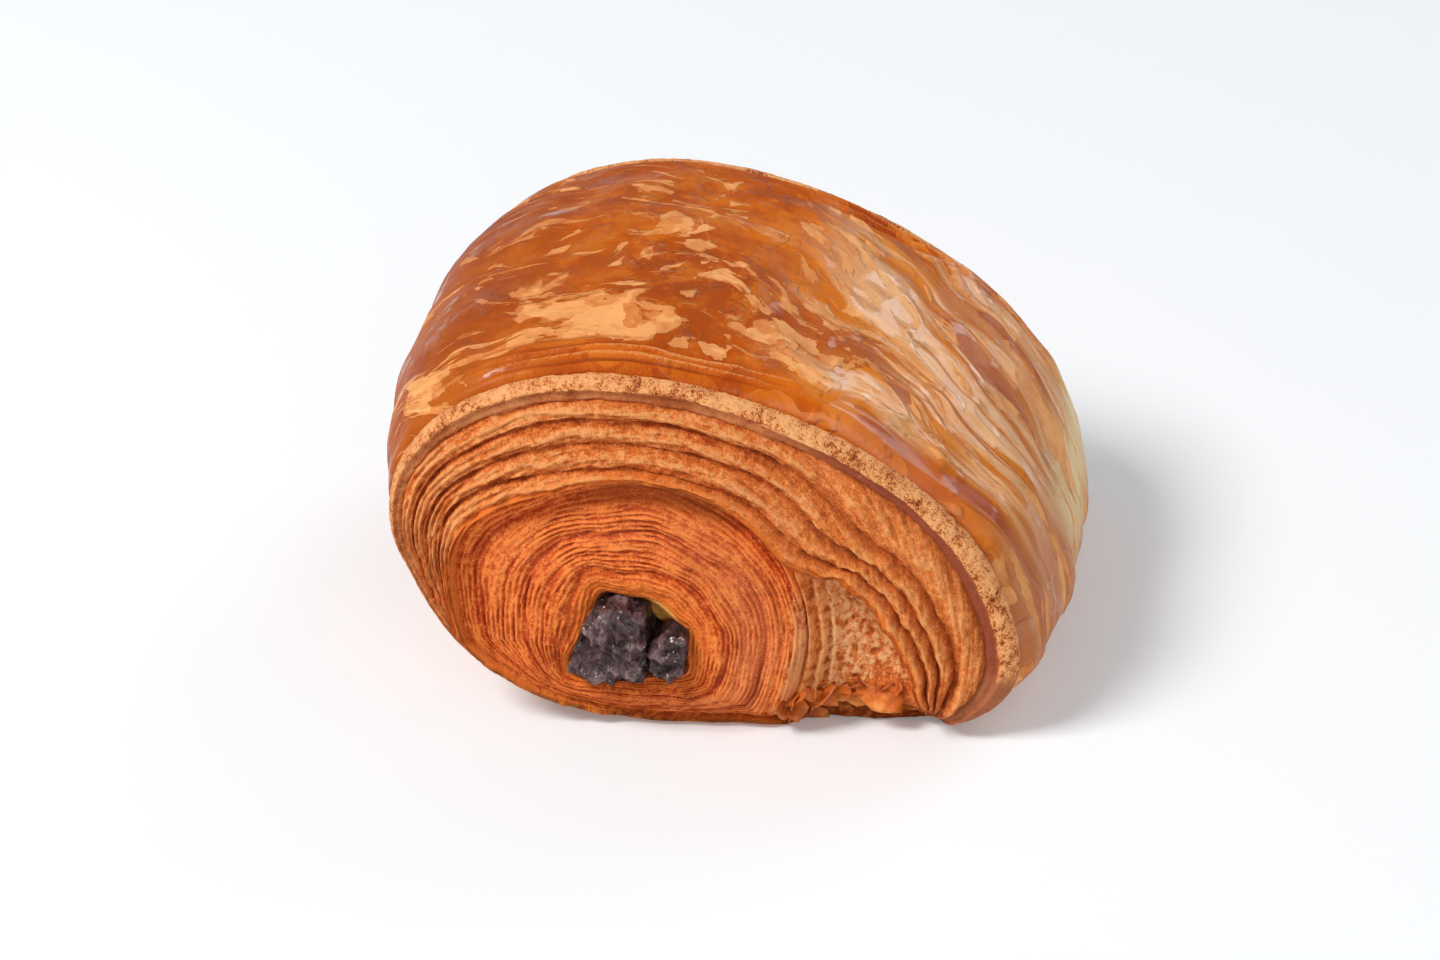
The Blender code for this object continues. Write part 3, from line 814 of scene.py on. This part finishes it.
def rim_finish():
    finish = Finish("rim", {"Specular IOR Level": 0.25, "Roughness": 0.8})
    place = finish.place()
    grain = finish.noise(place, 4600, detail=3, roughness=0.75)
    specks = finish.noise(place, 2100, detail=2, roughness=0.6)
    cloud = finish.noise(place, 300, detail=3)
    level = grain * 0.55 + specks * 0.35 + cloud * 0.30 - 0.10 + (finish.mark("crest") - 0.75) * 0.3
    colour = finish.colours(
        level, (0.39, (0.24, 0.042, 0.007)), (0.46, (0.76, 0.225, 0.055)), (0.53, (1.0, 0.49, 0.19))
    )
    # Painted shade on the left side of the rim.
    colour = finish.mix(finish.mark("left") * 0.55, colour, (0.48, 0.15, 0.045))
    shaded = finish.colours(
        cloud * 0.6 + grain * 0.4, (0.40, (0.42, 0.092, 0.020)), (0.60, (0.72, 0.26, 0.090))
    )
    shaded = finish.mix(finish.mark("narrow"), shaded, (0.34, 0.075, 0.030))
    under = finish.step(finish.mark("under") + (specks - 0.5) * 2.2, 0.15, 0.75)
    colour = finish.mix(under, colour, shaded)
    colour = finish.mix(finish.mark("foot"), colour, (0.44, 0.140, 0.058))
    flow = finish.mark("flow", is_vector=True)
    lines = finish.noise(finish.stretched(flow, (200, 200, 2600)), detail=2)
    colour = finish.mix(finish.mark("bottom"), colour, finish.colours(lines, *WOUND))
    colour = finish.mix(finish.step(finish.mark("torn"), 0.2, 0.6), colour, (0.34, 0.07, 0.008))
    finish.set("Base Color", colour)
    finish.set("Normal", finish.bump(grain * 0.6 + specks * 0.4, 0.4 * MM))
    return finish.material


def crust_finish():
    finish = Finish("glazed crust", {"Coat Roughness": 0.12, "Coat IOR": 1.45, "Specular IOR Level": 0.05})
    flow = finish.mark("flow", is_vector=True)
    place = finish.place()
    fold, folded, collar = finish.mark("fold"), finish.mark("folded"), finish.mark("collar")
    edge, left, right = finish.mark("edge"), finish.mark("left"), finish.mark("right")
    broad = finish.noise(finish.stretched(flow, (34, 34, 60)), detail=3, roughness=0.55)
    chips = finish.cells(finish.ragged(finish.stretched(flow, (230, 230, 340)), 1.3, 0.9), 1.0, 1)
    shards = finish.cells(finish.ragged(finish.stretched(flow, (38, 38, 210)), 1.0, 1.3), 1.0, 1)
    across = finish.stretched(flow, (22, 22, 120), (5, 2, 1))
    bands = finish.noise(across, detail=2, roughness=0.5, distortion=0.7) + (shards - 0.5) * 0.20
    patches = finish.noise(finish.stretched(flow, (75, 75, 130)), detail=4, roughness=0.58, distortion=0.7)
    patches = patches + (chips - 0.5) * 0.27 + finish.mark("flaky") * 0.065
    across = finish.stretched(flow, (55, 55, 620), (3, 1, 0))
    slivers = finish.noise(across, detail=4, roughness=0.6, distortion=0.4)
    spots = finish.noise(place, 420, detail=4, roughness=0.6)
    base = finish.colours(
        broad, (0.30, (0.34, 0.046, 0.002)), (0.50, (0.52, 0.090, 0.002)), (0.70, (0.70, 0.165, 0.003))
    )
    mottle = finish.noise(place, 190, detail=5, roughness=0.68)
    base = finish.mix(finish.step(mottle, 0.48, 0.62) * 0.55, base, (0.70, 0.20, 0.018))
    base = finish.mix(finish.step(mottle, 0.50, 0.38) * 0.45, base, (0.30, 0.055, 0.008))
    base = finish.mix((spots - 0.35) * 0.5, base, (0.42, 0.12, 0.02))
    # Darker reddish-brown on the left: partly the crust's own tone, partly painted shade of that side.
    base = finish.mix(left * 0.70, base, (0.27, 0.056, 0.011))
    streaky = finish.colours(
        bands,
        (0.36, (0.46, 0.10, 0.012)),
        (0.45, (0.66, 0.20, 0.018)),
        (0.50, (0.70, 0.25, 0.045)),
        (0.525, (0.79, 0.36, 0.13)),
        (0.66, (0.86, 0.48, 0.22)),
    )
    base = finish.mix(right * 0.85, base, streaky)
    base = finish.mix(finish.mark("low_right") * 0.75, base, (0.50, 0.175, 0.080))
    amber = finish.colours(
        broad + (shards - 0.5) * 0.3,
        (0.38, (0.38, 0.045, 0.003)),
        (0.50, (0.54, 0.095, 0.004)),
        (0.62, (0.68, 0.165, 0.010)),
    )
    base = finish.mix(collar * 0.85, base, amber)
    base = finish.mix(finish.mark("pale") * 0.9, base, (0.80, 0.62, 0.30))
    base = finish.mix(folded * 0.8, base, amber)
    grain = finish.noise(place, 2600, detail=2, roughness=0.7)
    spared = folded * 0.3 + collar * 0.2
    flakes = finish.step(patches + edge * 0.035 - spared - left * 0.035, 0.553, 0.588)
    cores = finish.step(patches + spots * 0.3 - spared, 0.790, 0.840)
    slips = finish.step(slivers + (chips - 0.5) * 0.1 + edge * 0.05 - folded * 0.3, 0.615, 0.627)
    blisters = finish.step(finish.noise(place, 230, detail=2), 0.56, 0.66) * (1 - flakes)
    tone = spots * 0.4 + chips * 0.4 + mottle * 0.5 - 0.15
    light = finish.colours(
        tone, (0.25, (0.54, 0.150, 0.032)), (0.50, (0.74, 0.28, 0.085)), (0.75, (0.90, 0.43, 0.16))
    )
    colour = finish.mix(flakes * (0.78 - 0.25 * left), base, light)
    colour = finish.mix(cores * 0.5, colour, (0.92, 0.46, 0.17))
    colour = finish.mix(slips * (0.7 - 0.5 * right), colour, light)
    ripped = finish.colours(
        spots, (0.40, (0.26, 0.040, 0.005)), (0.52, (0.50, 0.10, 0.008)), (0.62, (0.76, 0.25, 0.03))
    )
    colour = finish.mix(finish.mark("torn"), colour, ripped)
    colour = finish.mix(finish.step(fold, -0.15, -0.7) * 0.85, colour, (0.30, 0.05, 0.006))
    colour = finish.mix(finish.step(fold + (grain - 0.5) * 1.2, 0.1, 0.7) * 0.8, colour, (0.80, 0.31, 0.10))
    finish.set("Base Color", colour)
    glaze = finish.step(bands + spots * 0.1, 0.54, 0.60)
    bare = (1 - flakes) * (1 - left)
    finish.set("Coat Weight", 0.02 + 0.07 * bare + blisters * 0.5 + finish.mark("glossy") * glaze * 0.5)
    finish.set("Roughness", 0.42 + 0.20 * flakes + (spots - 0.5) * 0.2)
    small = finish.noise(finish.stretched(flow, (240, 240, 520)), detail=4, roughness=0.6)
    height = flakes * 0.55 + slips * 0.2 + small * (0.5 - 0.3 * right) + spots * 0.35 + bands * 1.2
    height = height + blisters * 0.6 + grain * folded * 0.6
    finish.set("Normal", finish.bump(height, 0.35 * MM))
    return finish.material


def flake_finish():
    """Thin skin, amber where light comes through."""
    finish = Finish("loose flakes", {"Specular IOR Level": 0.3})
    place = finish.place()
    spots = finish.noise(place, 420, detail=4, roughness=0.6)
    broad = finish.noise(place, 110, detail=2)
    colour = finish.colours(
        spots * 0.5 + broad * 0.5,
        (0.38, (0.34, 0.055, 0.006)),
        (0.50, (0.62, 0.15, 0.016)),
        (0.62, (0.86, 0.36, 0.09)),
    )
    finish.set("Base Color", colour)
    finish.set("Roughness", 0.45 + (spots - 0.5) * 0.3)
    finish.set("Normal", finish.bump(spots, 0.3 * MM))
    return finish.material


def chocolate_finish():
    finish = Finish("dark chocolate", {"Coat Roughness": 0.12, "Specular IOR Level": 0.2})
    place = finish.place()
    crest = finish.mark("crest")
    bloom = finish.noise(place, 420, detail=3, roughness=0.5)
    grain = finish.noise(place, 1900, detail=3, roughness=0.7)
    level = crest * 0.5 + bloom * 0.6 + (grain - 0.5) * 0.3
    colour = finish.colours(
        level, (0.30, (0.022, 0.009, 0.009)), (0.54, (0.115, 0.056, 0.058)), (0.80, (0.33, 0.205, 0.210))
    )
    # Painted glints: tiny pale specks stand in for highlights on the wet chocolate.
    glint_noise = finish.noise(place, 1300, detail=2, roughness=0.6)
    glints = finish.step(glint_noise + (bloom - 0.5) * 0.3, 0.66, 0.71)
    colour = finish.mix(glints * 0.65, colour, (0.66, 0.62, 0.64))
    finish.set("Base Color", colour)
    finish.set("Roughness", 0.55 - 0.30 * finish.step(grain, 0.5, 0.7))
    finish.set("Coat Weight", 0.35 + finish.step(bloom, 0.45, 0.58) * 0.65)
    finish.set("Normal", finish.bump(bloom * 0.8 + grain * 0.5, 2.2 * MM))
    return finish.material


def floor_finish():
    look = {"Roughness": 0.9, "Base Color": (0.79, 0.825, 0.855, 1.0)}
    glow = {"Emission Color": (1.0, 1.0, 1.0, 1.0), "Emission Strength": 0.13}
    return Finish("pale floor", {**look, **glow}).material


def floor():
    """A wide pale floor under the pastry."""
    work = bmesh.new()
    bmesh.ops.create_grid(work, x_segments=1, y_segments=1, size=3.0)
    mesh = bpy.data.meshes.new("floor")
    work.to_mesh(mesh)
    work.free()
    mesh.materials.append(floor_finish())
    made = bpy.data.objects.new("floor", mesh)
    bpy.context.scene.collection.objects.link(made)


def soft_light(name, place, size, watts, colour):
    """A square lamp that faces the pastry."""
    light = bpy.data.lights.new(name, "AREA")
    light.size = size
    light.energy = watts
    light.color = colour
    made = bpy.data.objects.new(name, light)
    made.location = place
    made.rotation_euler = (LAMP_TARGET - Vector(place)).to_track_quat("-Z", "Y").to_euler()
    bpy.context.scene.collection.objects.link(made)


def lights():
    soft_light("key", (-0.70, -0.45, 0.95), 0.45, 14.0, (1.0, 0.97, 0.94))
    soft_light("window", (0.80, 1.10, 0.62), 0.8, 6.5, (0.95, 0.95, 1.0))
    soft_light("fill", (0.5, -1.2, 0.6), 0.9, 4.0, (1.0, 0.98, 0.96))
    studio = bpy.data.worlds.new("studio")
    studio.use_nodes = True
    background = studio.node_tree.nodes["Background"]
    background.inputs["Color"].default_value = (0.96, 0.965, 0.98, 1.0)
    background.inputs["Strength"].default_value = 0.28
    bpy.context.scene.world = studio
    bpy.context.scene.view_settings.view_transform = "Standard"


def camera():
    lens = bpy.data.cameras.new("camera")
    lens.lens = LENS
    lens.sensor_width = SENSOR
    lens.clip_start = 0.01
    made = bpy.data.objects.new("camera", lens)
    level = math.cos(CAMERA_RISE)
    back = Vector((math.sin(CAMERA_TURN) * level, -math.cos(CAMERA_TURN) * level, math.sin(CAMERA_RISE)))
    made.location = CAMERA_TARGET + back * CAMERA_DISTANCE
    made.rotation_euler = back.to_track_quat("Z", "Y").to_euler()
    bpy.context.scene.collection.objects.link(made)
    bpy.context.scene.camera = made


def main():
    coil, wraps, rim = coil_finish(), wraps_finish(), rim_finish()
    coil_piece("inner_roll_front", FRONT, seed=11, columns=560, fineness=1.0, finish=coil)
    layers = wraps_piece("layers_front", FRONT, seed=12, columns=560, fineness=1.0, finish=wraps)
    rim_piece("rim_front", FRONT, seed=13, columns=900, rows=44, finish=rim)
    coil_piece("inner_roll_back", BACK, seed=21, columns=420, fineness=0.75, finish=coil)
    wraps_piece("layers_back", BACK, seed=22, columns=420, fineness=0.75, finish=wraps)
    rim_piece("rim_back", BACK, seed=23, columns=600, rows=26, finish=rim)
    crust_piece("crust", seed=41, columns=560, rows=166, finish=crust_finish())
    flakes_piece("torn_flakes", layers, seed=54, finish=flake_finish())
    chocolate = chocolate_finish()
    baton_piece("baton_left", LEFT_BATON, BATON_LENGTH, seed=31, cuts=60, finish=chocolate)
    baton_piece("baton_right", RIGHT_BATON, SHORT_BATON_LENGTH, seed=32, cuts=44, finish=chocolate)
    floor()
    lights()
    camera()


main()
